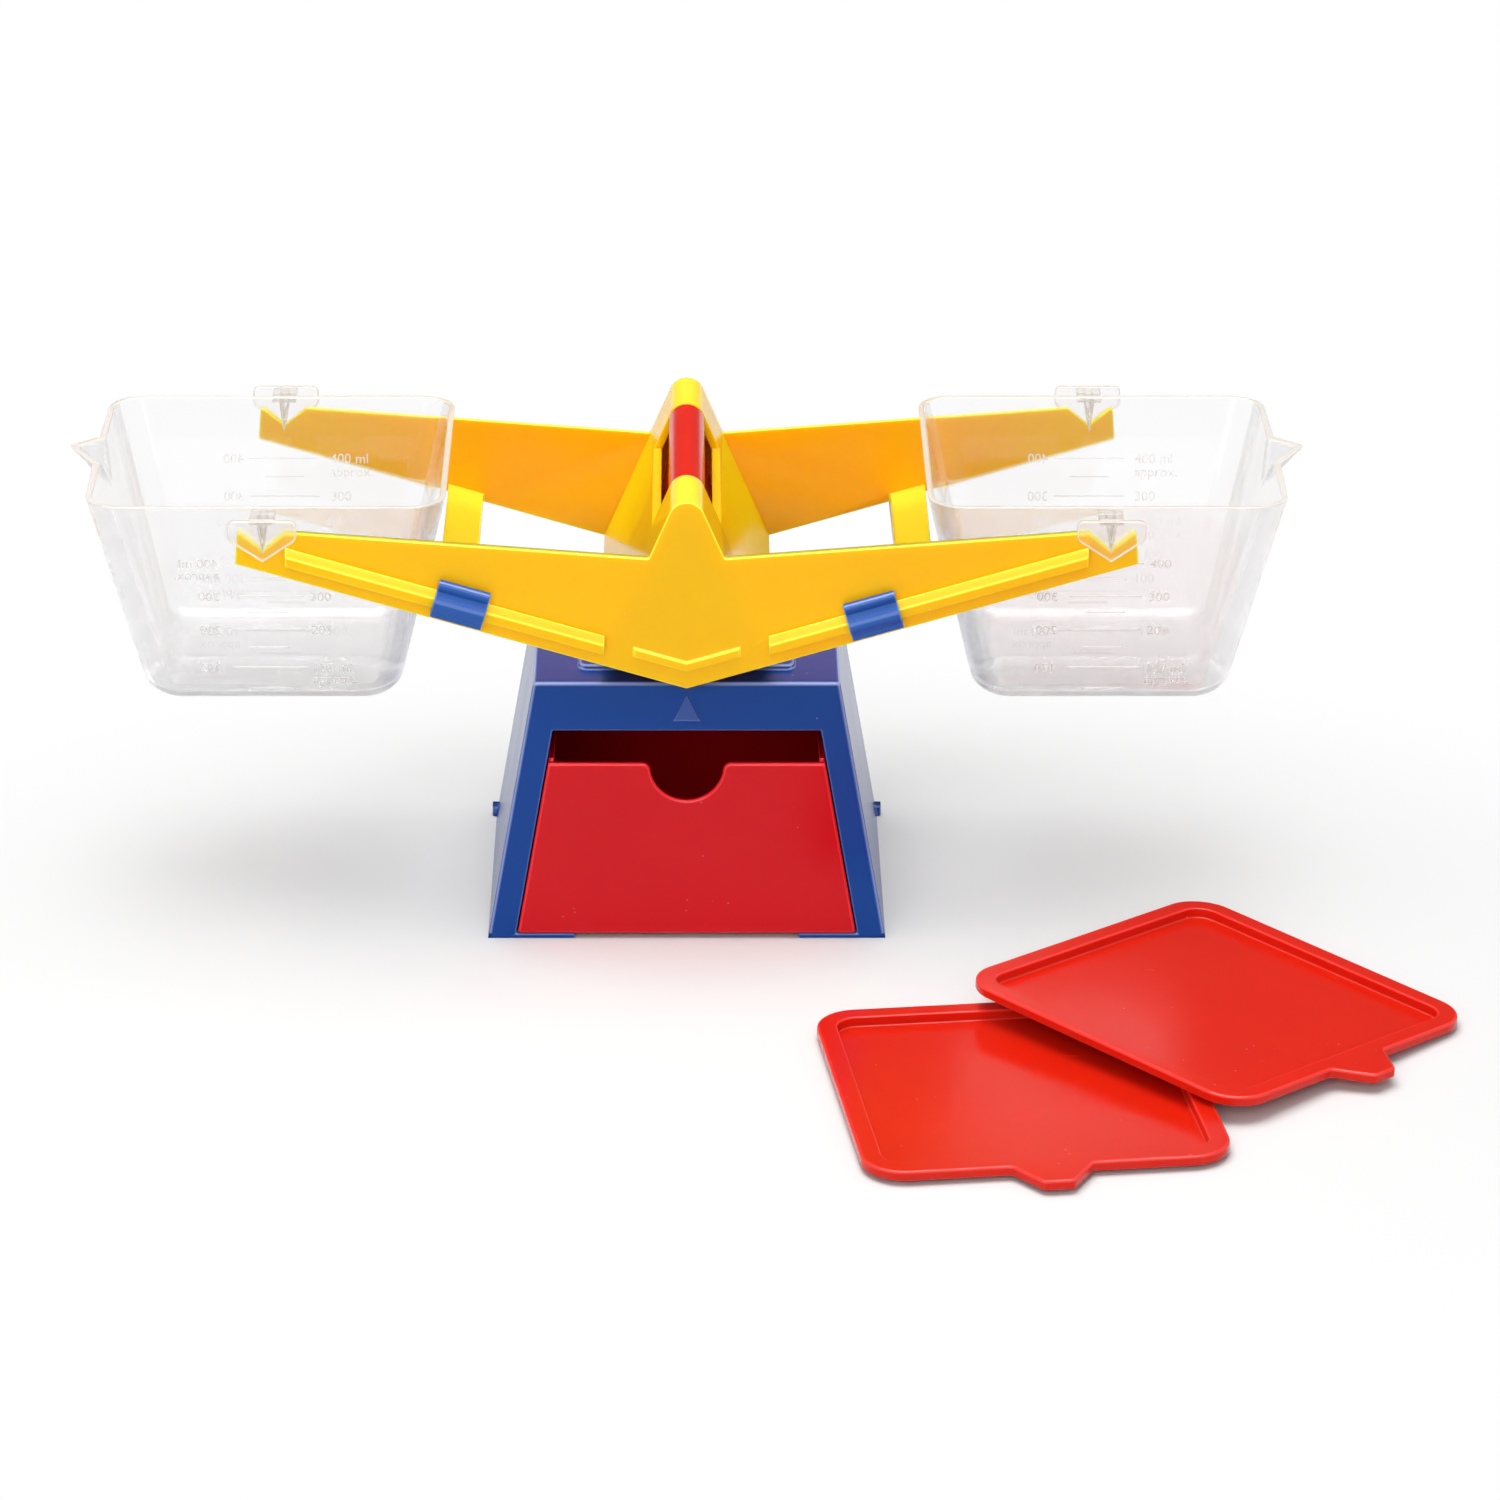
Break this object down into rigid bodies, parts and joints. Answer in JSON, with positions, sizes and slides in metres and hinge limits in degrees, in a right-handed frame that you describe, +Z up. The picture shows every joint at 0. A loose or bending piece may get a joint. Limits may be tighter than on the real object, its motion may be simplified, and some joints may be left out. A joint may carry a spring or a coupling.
{
  "type": "bucket balance",
  "caption": "Child's bucket balance: rocking beam on a knife-edge post over a drawer base, with hanging clear buckets, trim sliders and loose bucket lids.",
  "frame": {"origin": "on the table, under the middle of the base", "axes": "+X along the beam towards the right bucket, +Y to the back, away from the drawer's front, +Z up"},
  "size_m": [0.4208, 0.2938, 0.146],
  "materials": {
    "blue_plastic": "smooth moulded, glossy",
    "red_plastic": "smooth moulded, glossy",
    "yellow_plastic": "smooth moulded, glossy",
    "clear_plastic": "transparent, polished"
  },
  "bodies": {
    "base": {"base": "blue_plastic", "fulcrum_post": "red_plastic"},
    "drawer": {"drawer": "red_plastic"},
    "beam": {"beam": "yellow_plastic"},
    "slider_left": {"slider_left": "blue_plastic"},
    "slider_right": {"slider_right": "blue_plastic"},
    "bucket_left": {"bucket_left": "clear_plastic"},
    "bucket_right": {"bucket_right": "clear_plastic"},
    "lid_lower": {"lid_lower": "red_plastic"},
    "lid_upper": {"lid_upper": "red_plastic"}
  },
  "joints": [
    {"name": "beam_rock", "type": "hinge", "parent": "base", "child": "beam", "pos_m": [0, 0, 0.138], "axis": [0, 1, 0], "range_deg": [-10, 10]},
    {"name": "bucket_left_hang", "type": "hinge", "parent": "beam", "child": "bucket_left", "pos_m": [-0.1273, 0, 0.1308], "axis": [0, 1, 0], "range_deg": [-10, 10]},
    {"name": "bucket_right_hang", "type": "hinge", "parent": "beam", "child": "bucket_right", "pos_m": [0.1273, 0, 0.1308], "axis": [0, 1, 0], "range_deg": [-10, 10]},
    {"name": "slider_left_trim", "type": "slide", "parent": "beam", "child": "slider_left", "axis": [-0.9587, 0, 0.2843], "range_m": [-0.039, 0.034]},
    {"name": "slider_right_trim", "type": "slide", "parent": "beam", "child": "slider_right", "axis": [0.9587, 0, 0.2843], "range_m": [-0.0265, 0.0465]},
    {"name": "drawer_slide", "type": "slide", "parent": "base", "child": "drawer", "axis": [0, -1, 0], "range_m": [0, 0.055]},
    {"name": "lid_lower_lift", "type": "slide", "parent": "base", "child": "lid_lower", "axis": [0, -0.7071, 0.7071], "range_m": [0, 0.08]},
    {"name": "lid_upper_lift", "type": "slide", "parent": "lid_lower", "child": "lid_upper", "axis": [0.5774, -0.5774, 0.5774], "range_m": [0, 0.06]}
  ],
  "couplings": [
    {"joint": "bucket_left_hang", "follows": "beam_rock", "ratio": -1},
    {"joint": "bucket_right_hang", "follows": "beam_rock", "ratio": -1}
  ]
}
